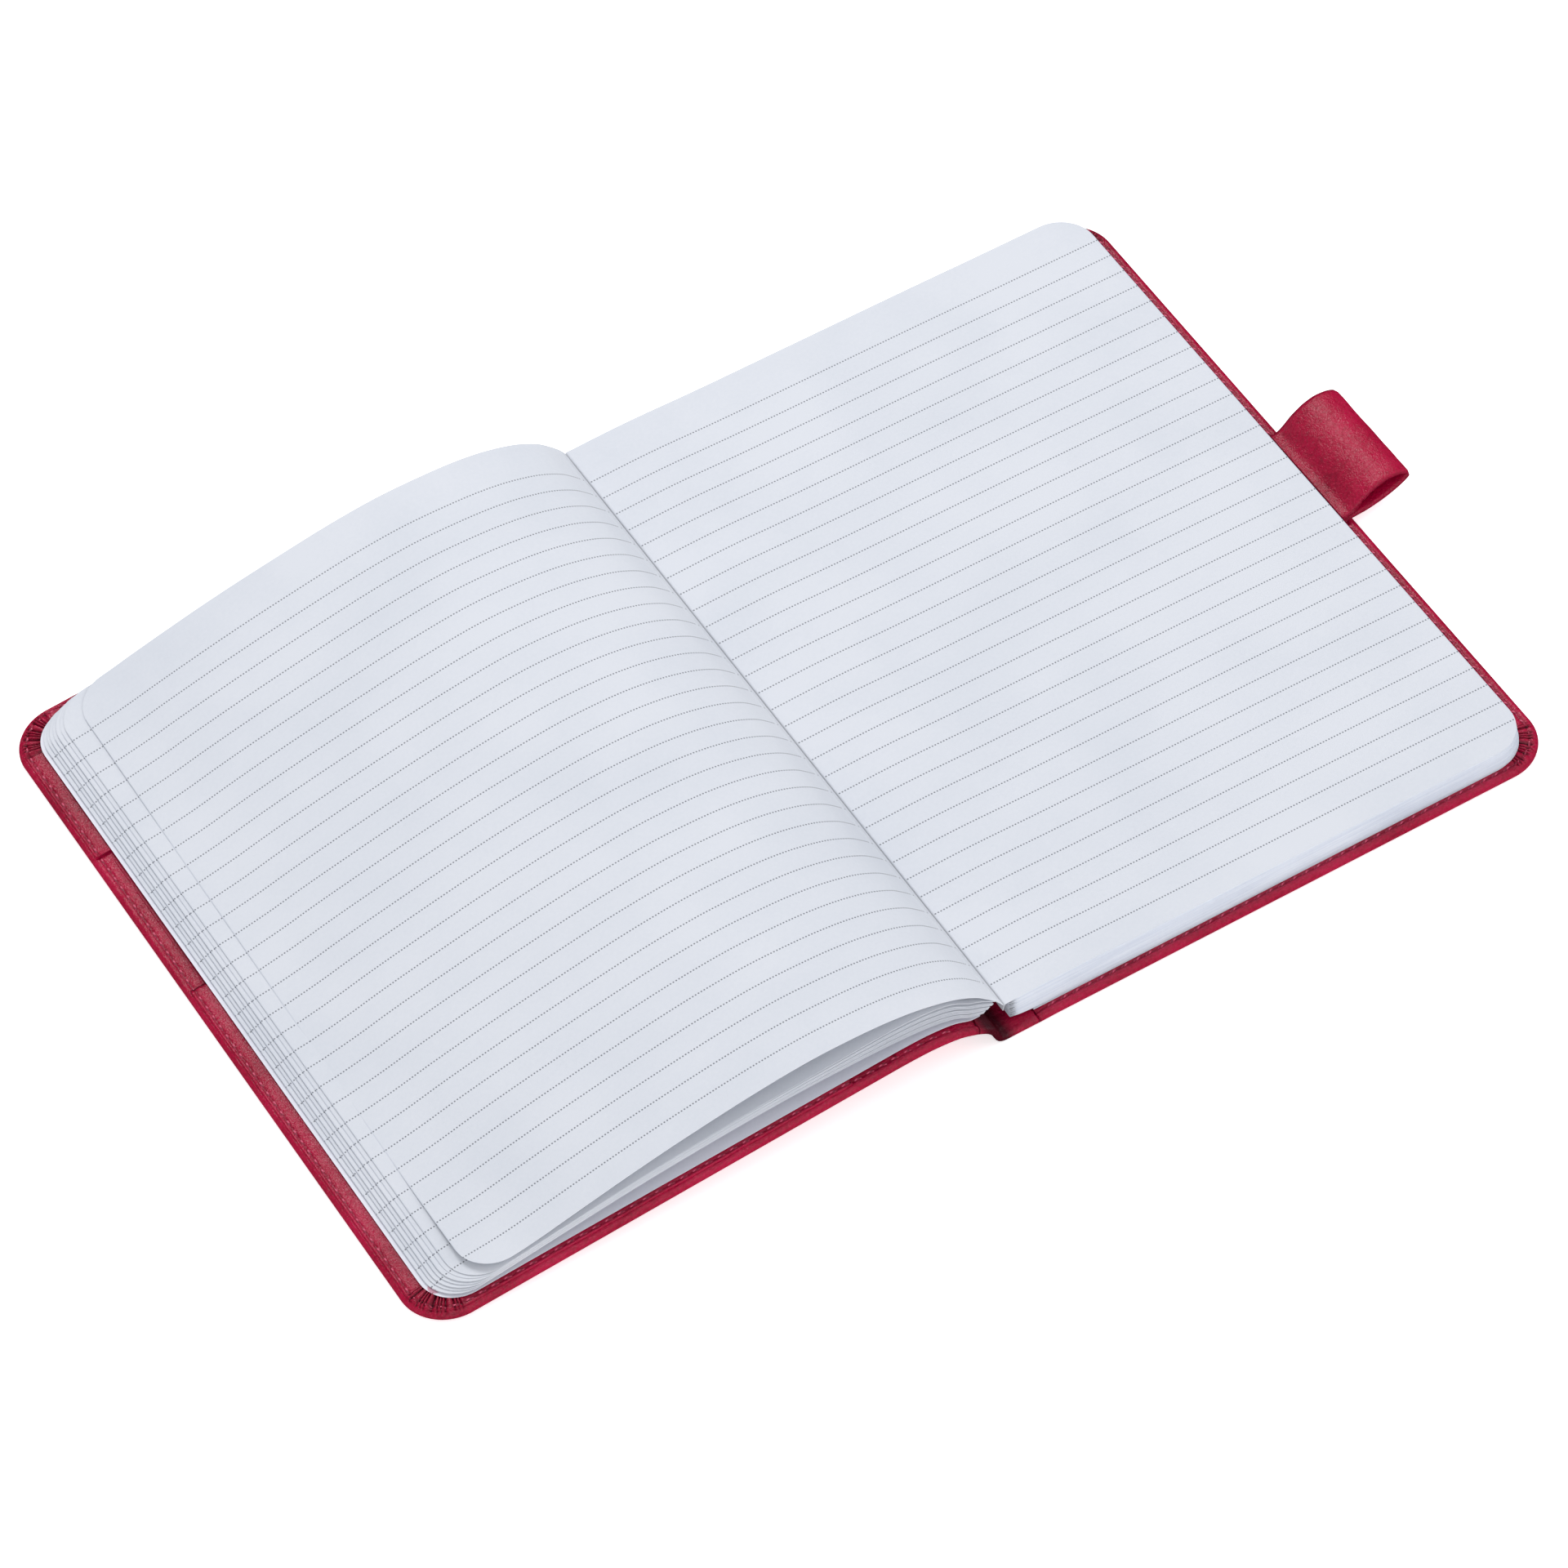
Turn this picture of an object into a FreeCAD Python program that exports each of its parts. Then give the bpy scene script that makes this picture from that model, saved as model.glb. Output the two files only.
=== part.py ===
import FreeCAD, Part
import math
import os

# An A5-size ruled notebook in a soft leather cover, lying open: the back cover and most of the
# leaves to the right, the front cover and the first leaves folded over to the left.
# Millimetres. +X to the reader's right, +Y to the head of the page, +Z up from the table.
# The model is drawn with X = 0 at the gutter and moved at the end, so that the origin is the
# centre of the back cover's flat underside.

V = FreeCAD.Vector

# Paper
page_width = 151.0
page_height = 209.5
page_corner_radius = 10.0
leaf_thickness = 0.12
endpaper_thickness = 0.15
section_count = 8
block_thickness = 7.2
block_fore_taper = 1.0
block_fore_splay = 1.0
gutter_lift = 1.3
gutter_face_x = 2.0
block_lift_length = 5.0
block_swell = 0.6
block_swell_x = 18.0
block_swell_length = 16.0
block_steps = [0.0, 0.02, 0.045, 0.08, 0.12, 0.17, 0.24, 0.35, 0.5, 0.65, 0.78, 0.88, 0.95, 1.0]

# Cover
leather_thickness = 0.9
board_thickness = 1.1
lining_thickness = 0.5
pocket_thickness = 0.5
cover_corner_radius = 12.5
head_square = 4.0
tail_square = 2.8
fore_square = 5.2
turn_in_width = 11.0
board_inset = 1.0
spine_edge_x = 8.4
front_creep = 2.0
layer_gap = 0.05
trim_reach = 2.0

# The front cover's shape on the table: flat board, shoulder, and curl down into the spine
shoulder_x = -30.0
shoulder_z = 9.75
curl_points = [(-8.6, 7.4), (-13.5, 9.2), (-21.0, 10.0)]
spine_lining_thickness = 0.4
spine_start_x = 8.0
spine_foot_radius = 2.2
spine_foot_x = -1.6
spine_rise_points = [(-4.5, 4.2), (-6.1, 5.9), (-8.3, 7.2)]

# Pockets inside the front cover, measured from the head edge of the cover
upper_pocket_depth = 49.0
middle_gap = 49.0
pocket_inset = 1.2
pocket_spine_x = -42.0

# Leaves turned to the left
arch_height = 13.2
fan_height = 4.2
belly_height = 4.0
stack_clearance = 0.3
leaf_gap = 0.12
top_leaf_creep = -8.0
top_leaf_root_x = 0.2
# name, level in the fan, leaves, how far the fore edge creeps past the page width, root;
# the flyleaf lies along the cover, the others bow up from it together
left_groups = [
    ("front_flyleaf", 0.00, 1, 2.6, -6.2),
    ("left_section_1", 0.15, 4, 1.8, -5.2),
    ("left_section_2", 0.40, 4, 0.6, -4.0),
    ("left_section_3", 0.70, 3, -1.4, -2.8),
    ("left_second_leaf", 1.00, 1, -4.2, -1.5),
]
# share of the way to the fore edge, then the shares of the fan, belly and arch heights there
leaf_shape = [
    (0.00, 0.10, 0.00, 0.00),
    (0.03, 0.60, 0.19, 0.22),
    (0.055, 0.85, 0.30, 0.38),
    (0.10, 1.00, 0.48, 0.52),
    (0.16, 0.92, 0.66, 0.68),
    (0.22, 0.75, 0.80, 0.82),
    (0.30, 0.52, 0.93, 0.96),
    (0.38, 0.40, 0.99, 1.00),
    (0.50, 0.30, 0.97, 0.92),
    (0.65, 0.24, 0.79, 0.75),
    (0.80, 0.19, 0.44, 0.50),
    (0.90, 0.14, 0.19, 0.24),
    (1.00, 0.10, 0.00, 0.07),
]

# Thread
stitch_inset = 2.2
stitch_pitch = 3.4
stitch_length = 2.5
stitch_width = 0.55
stitch_height = 0.3
binding_thread_radius = 0.2
binding_stitch_length = 16.0
binding_stitch_count = 6
mull_thickness = 0.4
mull_inset = 9.0
mull_edge_gap = 0.3

# Pen loop, a folded strip sewn to the back cover's fore edge
loop_width = 33.6
loop_centre_from_head = 109.9
loop_strip_thickness = 1.1
loop_reach = 17.0
loop_opening = 5.4
loop_clearance = 0.35
loop_root_lift = 0.15
loop_root_gap = 0.5
loop_root_web = 1.6
loop_rise = 5.2
sewn_end_clearance = 0.6

# Worked out from the sizes above
cover_thickness = leather_thickness + board_thickness + lining_thickness
inner_height = cover_thickness + pocket_thickness
cover_height = page_height + head_square + tail_square
cover_head_y = cover_height / 2
cover_tail_y = -cover_height / 2
page_head_y = cover_head_y - head_square
page_tail_y = cover_tail_y + tail_square
back_fore_x = page_width + fore_square
front_fore_x = -(page_width + fore_square + front_creep)
block_base_z = cover_thickness + endpaper_thickness
sewn_end_length = fore_square - block_fore_splay - sewn_end_clearance
loop_y = cover_head_y - loop_centre_from_head
loop_start_y = loop_y - loop_width / 2
upper_pocket_edge = cover_head_y - upper_pocket_depth
lower_pocket_edge = upper_pocket_edge - middle_gap
tilt = math.atan2(shoulder_z, shoulder_x - front_fore_x)
origin = V((spine_edge_x + back_fore_x) / 2, 0, 0)


def rounded_prism(spine_x, fore_x, tail_y, head_y, radius, z0=-5.0, z1=45.0):
    """Upright prism: square at the spine side, rounded at the two fore corners."""
    side = 1.0 if fore_x > spine_x else -1.0
    a = V(spine_x, tail_y, z0)
    b = V(fore_x - side * radius, tail_y, z0)
    c = V(fore_x, tail_y + radius, z0)
    d = V(fore_x, head_y - radius, z0)
    e = V(fore_x - side * radius, head_y, z0)
    f = V(spine_x, head_y, z0)
    k = radius * (1 - math.sqrt(0.5))
    tail_mid = V(fore_x - side * k, tail_y + k, z0)
    head_mid = V(fore_x - side * k, head_y - k, z0)
    edges = [
        Part.LineSegment(a, b).toShape(),
        Part.Arc(b, tail_mid, c).toShape(),
        Part.LineSegment(c, d).toShape(),
        Part.Arc(d, head_mid, e).toShape(),
        Part.LineSegment(e, f).toShape(),
        Part.LineSegment(f, a).toShape(),
    ]
    return Part.Face(Part.Wire(edges)).extrude(V(0, 0, z1 - z0))


def normals(points):
    """Unit normals on the upper side of a curve that runs towards the left fore edge."""
    out = []
    for i in range(len(points)):
        p = points[max(i - 1, 0)]
        q = points[min(i + 1, len(points) - 1)]
        dx = q[0] - p[0]
        dz = q[1] - p[1]
        length = math.hypot(dx, dz)
        out.append((dz / length, -dx / length))
    return out


def offset(points, distance):
    return [(p[0] + n[0] * distance, p[1] + n[1] * distance) for p, n in zip(points, normals(points))]


def curve(points, y):
    """One edge through the points: a line for two, a smooth curve for more."""
    vectors = [V(x, y, z) for x, z in points]
    if len(vectors) == 2:
        return Part.LineSegment(vectors[0], vectors[1]).toShape()
    spline = Part.BSplineCurve()
    spline.interpolate(vectors)
    return spline.toShape()


def section_solid(edges, tail_y, head_y):
    """Solid drawn from a closed XZ section at the tail to the head."""
    return Part.Face(Part.Wire(edges)).extrude(V(0, head_y - tail_y, 0))


def strip(lower, upper, tail_y, head_y):
    """Solid between two smooth curves of an XZ section."""
    edges = [
        curve(lower, tail_y),
        curve([lower[-1], upper[-1]], tail_y),
        curve(list(reversed(upper)), tail_y),
        curve([upper[0], lower[0]], tail_y),
    ]
    return section_solid(edges, tail_y, head_y)


def slab(lower, upper, tail_y, head_y):
    """Solid between two runs of straight lines of an XZ section."""
    ring = lower + list(reversed(upper)) + [lower[0]]
    wire = Part.makePolygon([V(x, tail_y, z) for x, z in ring])
    return Part.Face(wire).extrude(V(0, head_y - tail_y, 0))


def front_band(low, high):
    """Layer of the front cover between two heights over its outer face."""
    fore = (front_fore_x - trim_reach * math.cos(tilt), -trim_reach * math.sin(tilt))
    bend = list(curl_points) + [(shoulder_x, shoulder_z)]
    flat = [(shoulder_x, shoulder_z), fore]
    normal = (-math.sin(tilt), math.cos(tilt))

    def raised(distance):
        curled = offset(bend, distance)
        curled[-1] = (shoulder_x + normal[0] * distance, shoulder_z + normal[1] * distance)
        straight = [(x + normal[0] * distance, z + normal[1] * distance) for x, z in flat]
        return curled, straight

    bend_low, flat_low = raised(low)
    bend_high, flat_high = raised(high)
    y = cover_tail_y
    edges = [
        curve(bend_low, y),
        curve(flat_low, y),
        curve([flat_low[-1], flat_high[-1]], y),
        curve(list(reversed(flat_high)), y),
        curve(list(reversed(bend_high)), y),
        curve([bend_high[0], bend_low[0]], y),
    ]
    return section_solid(edges, cover_tail_y, cover_head_y)


def back_band(low, high):
    """Layer of the back cover between two heights over the table."""
    end_x = back_fore_x + trim_reach
    lower = [(spine_edge_x, low), (end_x, low)]
    upper = [(spine_edge_x, high), (end_x, high)]
    return strip(lower, upper, cover_tail_y, cover_head_y)


def outline(side, inset):
    """Cover outline drawn in by an inset at the fore edge, head and tail."""
    spine_x = spine_edge_x - 1 if side == "back" else 0.0
    fore_x = back_fore_x - inset if side == "back" else front_fore_x + inset
    radius = max(cover_corner_radius - inset, 1.0)
    return rounded_prism(spine_x, fore_x, cover_tail_y + inset, cover_head_y - inset, radius)


def leather_case(side):
    """Outer leather of one cover: face, rolled edge and turned-in hem, in one piece."""
    band = back_band if side == "back" else front_band
    face = band(0, leather_thickness).common(outline(side, 0))
    board_top = leather_thickness + board_thickness
    wall = band(leather_thickness, board_top).common(outline(side, 0)).cut(outline(side, board_inset))
    hem = band(board_top, cover_thickness).common(outline(side, 0)).cut(outline(side, turn_in_width))
    return face.fuse(wall).fuse(hem).removeSplitter()


def board(side):
    band = back_band if side == "back" else front_band
    low = leather_thickness + layer_gap
    high = leather_thickness + board_thickness - layer_gap
    return band(low, high).common(outline(side, board_inset + layer_gap))


def lining(side):
    """Inner lining, let in flush with the turned-in hem."""
    band = back_band if side == "back" else front_band
    low = leather_thickness + board_thickness
    return band(low, cover_thickness).common(outline(side, turn_in_width + layer_gap))


def pocket(head_y, tail_y):
    """Leather pocket panel laid on the front lining and hem."""
    panel = front_band(cover_thickness, inner_height).common(outline("front", pocket_inset))
    corner = V(front_fore_x, tail_y, -10)
    window = Part.makeBox(pocket_spine_x - front_fore_x, head_y - tail_y, 60, corner)
    return panel.common(window)


def hem_path(side):
    """Points and directions of the stitches, along tail, fore edge and head."""
    sign = 1.0 if side == "back" else -1.0
    fore_x = back_fore_x if side == "back" else front_fore_x
    start_x = spine_edge_x + 3 if side == "back" else shoulder_x
    radius = cover_corner_radius - stitch_inset
    fore = fore_x - sign * stitch_inset
    tail = cover_tail_y + stitch_inset
    head = cover_head_y - stitch_inset
    run = abs(fore - start_x) - radius
    arc = radius * math.pi / 2
    height = head - tail - 2 * radius
    total = 2 * run + 2 * arc + height
    count = int(total / stitch_pitch)
    places = []
    for i in range(count):
        s = (i + 0.5) * total / count
        if s < run:
            places.append((start_x + sign * s, tail, 0.0))
        elif s < run + arc:
            a = (s - run) / radius
            x = fore - sign * radius + sign * radius * math.sin(a)
            places.append((x, tail + radius - radius * math.cos(a), sign * a))
        elif s < run + arc + height:
            places.append((fore, tail + radius + s - run - arc, math.pi / 2))
        elif s < run + 2 * arc + height:
            a = (s - run - arc - height) / radius
            x = fore - sign * radius + sign * radius * math.cos(a)
            places.append((x, head - radius + radius * math.sin(a), sign * (math.pi / 2 + a)))
        else:
            places.append((fore - sign * (radius + s - run - 2 * arc - height), head, 0.0))
    return places


def stitch(length, width, height):
    return Part.makeBox(length, width, height, V(-length / 2, -width / 2, 0))


def clear_of(place, edges):
    return min(abs(place - edge) for edge in edges) >= stitch_length


def hem_stitching(side):
    pieces = []
    for x, y, angle in hem_path(side):
        along_fore = abs(angle - math.pi / 2) < 0.01
        piece = stitch(stitch_length, stitch_width, stitch_height)
        piece.rotate(V(0, 0, 0), V(0, 0, 1), math.degrees(angle))
        if side == "back":
            if along_fore and abs(y - loop_y) < loop_width / 2 + stitch_length:
                continue
            piece.translate(V(x, y, cover_thickness))
        else:
            if along_fore and not clear_of(y, (upper_pocket_edge, lower_pocket_edge)):
                continue
            if not along_fore and not clear_of(x, (pocket_spine_x,)):
                continue
            over_pocket = x < pocket_spine_x and not lower_pocket_edge <= y <= upper_pocket_edge
            level = inner_height if over_pocket else cover_thickness
            along = (x - front_fore_x) / math.cos(tilt)
            piece.rotate(V(0, 0, 0), V(0, 1, 0), -math.degrees(tilt))
            foot = V(front_fore_x + along * math.cos(tilt), y, along * math.sin(tilt))
            piece.translate(foot + V(-math.sin(tilt) * level, 0, math.cos(tilt) * level))
        pieces.append(piece)
    return Part.makeCompound(pieces)


def block_curve(share):
    """Section line of the right-hand block, from its base (0) to its top (1)."""
    fore_x = page_width + block_fore_splay * (1 - share)
    points = []
    for step in block_steps:
        x = gutter_face_x + (fore_x - gutter_face_x) * step
        lift = gutter_lift * (1 - share) * math.exp(-(x - gutter_face_x) / block_lift_length)
        swell = block_swell * share * math.exp(-((x - block_swell_x) / block_swell_length) ** 2)
        taper = block_fore_taper * share * step ** 3
        points.append((x, block_base_z + block_thickness * share + lift + swell - taper))
    return points


def page_outline(fore_x, spine_x):
    return rounded_prism(spine_x, fore_x, page_tail_y, page_head_y, page_corner_radius)


def right_section(index):
    low = block_curve(index / section_count)
    high = block_curve((index + 1) / section_count)
    fore_x = page_width + block_fore_splay * (1 - (index + 1) / section_count)
    return slab(low, high, page_tail_y, page_head_y).common(page_outline(fore_x, 0))


def right_top_leaf():
    low = block_curve(1.0)
    high = [(x, z + leaf_thickness) for x, z in low]
    return slab(low, high, page_tail_y, page_head_y).common(page_outline(page_width, 0))


def back_endpaper():
    corner = V(spine_edge_x, page_tail_y, cover_thickness)
    sheet = Part.makeBox(page_width - spine_edge_x, page_height, endpaper_thickness, corner)
    return sheet.common(page_outline(page_width, 0))


def spine_mull():
    """Open-weave cloth strip glued down the folds of the sections."""
    low = block_curve(0)[0][1] + mull_edge_gap
    high = block_curve(1)[0][1] - mull_edge_gap
    height = page_height - 2 * mull_inset
    corner = V(gutter_face_x - mull_thickness, page_tail_y + mull_inset, low)
    return Part.makeBox(mull_thickness, height, high - low, corner)


def sewing_thread():
    """Long stitches of binding thread showing in the open fold."""
    x = gutter_face_x - mull_thickness - binding_thread_radius
    z = block_curve(1)[0][1] - binding_thread_radius
    pitch = (page_height - 2 * mull_inset) / binding_stitch_count
    pieces = []
    for i in range(binding_stitch_count):
        y = page_tail_y + mull_inset + (i + 0.5) * pitch - binding_stitch_length / 2
        pieces.append(Part.makeCylinder(binding_thread_radius, binding_stitch_length, V(x, y, z), V(0, 1, 0)))
    return Part.makeCompound(pieces)


def spine_line(distance, y):
    """Edges of the spine's section: flat under the block, round the foot, then up to the cover."""
    radius = spine_foot_radius - distance
    centre_z = spine_foot_radius
    half = math.sqrt(0.5) * radius
    bottom = V(spine_foot_x, y, distance)
    middle = V(spine_foot_x - half, y, centre_z - half)
    side = V(spine_foot_x - radius, y, centre_z)
    rise = [(spine_foot_x - spine_foot_radius, centre_z)] + spine_rise_points
    raised = offset(rise, distance)
    raised[0] = (side.x, side.z)
    return [
        Part.LineSegment(V(spine_start_x, y, distance), bottom).toShape(),
        Part.Arc(bottom, middle, side).toShape(),
        curve(raised, y),
    ]


def spine_strip(low, high):
    y = cover_tail_y
    outer = spine_line(low, y)
    inner = spine_line(high, y)
    start = Part.LineSegment(V(spine_start_x, y, low), V(spine_start_x, y, high)).toShape()
    finish = Part.LineSegment(outer[-1].Vertexes[-1].Point, inner[-1].Vertexes[-1].Point).toShape()
    return section_solid(outer + [finish] + list(reversed(inner)) + [start], cover_tail_y, cover_head_y)


def cover_face(x):
    """Height of the front cover's inner face, pockets included, under a point of the leaves."""
    bend = offset(list(curl_points) + [(shoulder_x, shoulder_z)], inner_height)
    straight_z = shoulder_z + (x - shoulder_x) * math.tan(tilt) + inner_height / math.cos(tilt)
    if x <= bend[-1][0]:
        return straight_z
    for (x0, z0), (x1, z1) in zip(bend, bend[1:]):
        if x1 <= x <= x0:
            return z0 + (z1 - z0) * (x - x0) / (x1 - x0)
    return bend[0][1]


def left_leaf(base, heights, thickness, fore, root_x):
    """Leaves turned to the left: up from their roots, over, and down to their fore edge."""
    low = []
    for share, *height_shares in leaf_shape:
        x = root_x - (fore + root_x) * share
        height = base + sum(full * part for full, part in zip(heights, height_shares))
        low.append((x, cover_face(x) + stack_clearance + height))
    high = [(x, z + thickness) for x, z in low]
    leaves = strip(low, high, page_tail_y, page_head_y)
    return leaves.common(page_outline(-fore, gutter_face_x))


def loop_line(inset):
    """Teardrop section of the pen loop from its lower root, out round the tip and back."""
    x0 = back_fore_x + loop_clearance
    z0 = cover_thickness + loop_root_lift
    tip_radius = loop_opening / 2 + loop_strip_thickness - inset
    tip = V(x0 + loop_reach - tip_radius - inset, 0, z0 + loop_rise)
    root_low = V(x0, 0, z0 + inset)
    root_high = V(x0, 0, z0 + 2 * loop_strip_thickness + loop_root_gap - inset)
    low = [(root_low.x, root_low.z), (x0 + loop_reach * 0.4, z0 + inset + loop_rise * 0.03),
           (tip.x + tip_radius * 0.5, tip.z - tip_radius * 0.866)]
    high = [(tip.x - tip_radius * 0.2, tip.z + tip_radius * 0.98),
            (x0 + loop_reach * 0.3, z0 + loop_rise + tip_radius * 0.45), (root_high.x, root_high.z)]
    return low, (tip.x + tip_radius, tip.z), high


def loop_ring(inset, y):
    low, tip, high = loop_line(inset)
    start, middle, finish = (V(x, y, z) for x, z in (low[-1], tip, high[0]))
    round_end = Part.Arc(start, middle, finish).toShape()
    return [curve(low, y), round_end, curve(high, y), curve([high[-1], low[0]], y)]


def pen_loop():
    y0 = loop_start_y
    y1 = y0 + loop_width
    body = section_solid(loop_ring(0, y0), y0, y1)
    hole = section_solid(loop_ring(loop_strip_thickness, y0 - 1), y0 - 1, y1 + 1)
    web = Part.makeBox(loop_root_web, loop_width, 30, V(back_fore_x, y0, 0))
    return body.cut(hole.cut(web))


def pen_loop_sewn_end():
    """The two ends of the loop strip, sewn down on the hem."""
    corner = V(back_fore_x - sewn_end_length, loop_start_y, cover_thickness)
    return Part.makeBox(sewn_end_length, loop_width, loop_strip_thickness, corner)


parts = {}
for side in ("back", "front"):
    parts[side + "_cover_leather"] = leather_case(side)
    parts[side + "_cover_board"] = board(side)
    parts[side + "_cover_lining"] = lining(side)
    parts[side + "_hem_stitching"] = hem_stitching(side)
parts["upper_pocket_panel"] = pocket(cover_head_y, upper_pocket_edge)
parts["lower_pocket_panel"] = pocket(lower_pocket_edge, cover_tail_y)
parts["spine_leather"] = spine_strip(0, leather_thickness)
parts["spine_lining"] = spine_strip(leather_thickness, leather_thickness + spine_lining_thickness)
parts["back_endpaper"] = back_endpaper()
for index in range(section_count):
    parts["right_section_%d" % (index + 1)] = right_section(index)
parts["right_top_leaf"] = right_top_leaf()
parts["spine_mull"] = spine_mull()
parts["sewing_thread"] = sewing_thread()
base = 0.0
for name, level, leaves, creep, root_x in left_groups:
    thickness = leaf_thickness * leaves
    heights = (fan_height * level, belly_height if level else 0, 0)
    parts[name] = left_leaf(base, heights, thickness, page_width + creep, root_x)
    base += thickness + leaf_gap
top_leaf_fore = page_width + top_leaf_creep
heights = (0, 0, arch_height)
parts["left_top_leaf"] = left_leaf(base, heights, leaf_thickness, top_leaf_fore, top_leaf_root_x)
parts["pen_loop"] = pen_loop()
parts["pen_loop_sewn_end"] = pen_loop_sewn_end()

os.makedirs("parts", exist_ok=True)
for name, shape in parts.items():
    shape.translate(-origin)
    box = shape.BoundBox
    print(name, "solids", len(shape.Solids), "valid", shape.isValid(), "volume", round(shape.Volume, 1))
    print("    x %.1f %.1f  y %.1f %.1f" % (box.XMin, box.XMax, box.YMin, box.YMax), end="  ")
    print("z %.2f %.2f" % (box.ZMin, box.ZMax))
    shape.exportStep("parts/%s.step" % name)
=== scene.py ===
import bmesh
import bpy
import math
from mathutils import Matrix, Vector, noise


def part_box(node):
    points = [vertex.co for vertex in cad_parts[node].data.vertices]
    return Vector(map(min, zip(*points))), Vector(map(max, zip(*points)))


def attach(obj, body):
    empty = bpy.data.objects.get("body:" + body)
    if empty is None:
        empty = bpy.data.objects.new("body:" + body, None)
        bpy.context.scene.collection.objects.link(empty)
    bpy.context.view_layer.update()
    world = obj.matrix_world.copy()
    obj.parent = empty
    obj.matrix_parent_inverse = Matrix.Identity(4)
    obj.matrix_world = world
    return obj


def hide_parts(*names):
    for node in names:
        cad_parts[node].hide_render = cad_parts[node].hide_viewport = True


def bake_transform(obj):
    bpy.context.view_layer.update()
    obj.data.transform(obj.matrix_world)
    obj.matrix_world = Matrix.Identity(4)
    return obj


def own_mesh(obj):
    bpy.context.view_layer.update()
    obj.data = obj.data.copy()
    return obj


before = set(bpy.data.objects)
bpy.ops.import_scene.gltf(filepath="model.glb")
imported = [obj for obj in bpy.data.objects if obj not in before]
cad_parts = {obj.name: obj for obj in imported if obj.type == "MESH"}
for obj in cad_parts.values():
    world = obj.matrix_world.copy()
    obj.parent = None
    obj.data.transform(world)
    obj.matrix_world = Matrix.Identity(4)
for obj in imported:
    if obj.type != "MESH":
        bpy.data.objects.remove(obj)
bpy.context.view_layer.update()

# --------
# The cover board and its wrap: each cover is a thin grey board wrapped in one
# piece of crimson calf leather, turned in round three sides, gathered into
# pleats at the two round corners, and run round with a line of stitching.
mm = 0.001
back_low, back_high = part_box("back_cover_leather")
front_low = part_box("front_cover_leather")[0]
page_low, page_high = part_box("right_top_leaf")
gutter_x = page_low.x - 2.0 * mm
page_width = page_high.x - gutter_x
cover_thickness = back_high.z
tail_y, head_y = back_low.y, back_high.y
page_tail_y, page_head_y = page_low.y, page_high.y
rolled_edge = 0.6 * mm
front_fore_x = front_low.x - rolled_edge
back_fore_x = back_high.x + rolled_edge

corner_radius = 12.5 * mm
pleat_count = 13
hem_top = 1.9 * mm
shoulder = Vector((gutter_x - 30.0 * mm, 0, 9.75 * mm))
tilt = math.atan2(shoulder.z, shoulder.x - front_fore_x)
curl = [(gutter_x + x * mm, z * mm) for x, z in ((-8.6, 7.4), (-13.5, 9.2), (-21.0, 10.0))]
curl.append((shoulder.x, shoulder.z))


def clamp(value):
    return min(max(value, 0.0), 1.0)


def linear(hex_colour):
    """sRGB hex to the linear colour that a shader takes."""
    values = [int(hex_colour[i:i + 2], 16) / 255 for i in (1, 3, 5)]
    return [v / 12.92 if v <= 0.04045 else ((v + 0.055) / 1.055) ** 2.4 for v in values] + [1.0]


def add(tree, kind, inputs=None, **settings):
    """Adds one node: settings are its properties, inputs are values or sockets to link."""
    node = tree.nodes.new(kind)
    for name, value in settings.items():
        setattr(node, name, value)
    for key, value in (inputs or {}).items():
        socket = node.inputs[key]
        if isinstance(value, bpy.types.NodeSocket):
            tree.links.new(value, socket)
        else:
            socket.default_value = value
    return node


def maths(tree, operation, *values):
    """One maths node over numbers or sockets."""
    return add(tree, "ShaderNodeMath", dict(enumerate(values)), operation=operation).outputs[0]


def mottle(tree, place, size, detail, **more):
    """Soft noise with lumps of about the given size."""
    inputs = {"Vector": place, "Scale": 1 / size, "Detail": detail, **more}
    return add(tree, "ShaderNodeTexNoise", inputs).outputs["Fac"]


def relief(tree, height, strength, depth, **more):
    """Bump from a height; more may hold the Normal of another one to lie over."""
    inputs = {"Height": height, "Strength": strength, "Distance": depth, **more}
    return add(tree, "ShaderNodeBump", inputs).outputs[0]


def new_material(name):
    """A material with an empty tree, its Principled shader and its output."""
    material = bpy.data.materials.new(name)
    material.use_nodes = True
    tree = material.node_tree
    tree.nodes.clear()
    shader = add(tree, "ShaderNodeBsdfPrincipled")
    add(tree, "ShaderNodeOutputMaterial", {"Surface": shader.outputs[0]})
    return material, tree, shader


def ramp(tree, factor, stops):
    """Colour ramp through (position, hex colour) stops."""
    node = add(tree, "ShaderNodeValToRGB", {"Fac": factor})
    while len(node.color_ramp.elements) < len(stops):
        node.color_ramp.elements.new(0.5)
    for element, (position, colour) in zip(node.color_ramp.elements, stops):
        element.position = position
        element.color = linear(colour)
    return node.outputs["Color"]


def mixed(tree, factor, under, over, **settings):
    """Colour mix: under shows at 0, over at 1."""
    inputs = {"Factor": factor, 6: under, 7: over}
    return add(tree, "ShaderNodeMix", inputs, data_type="RGBA", **settings).outputs[2]


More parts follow.
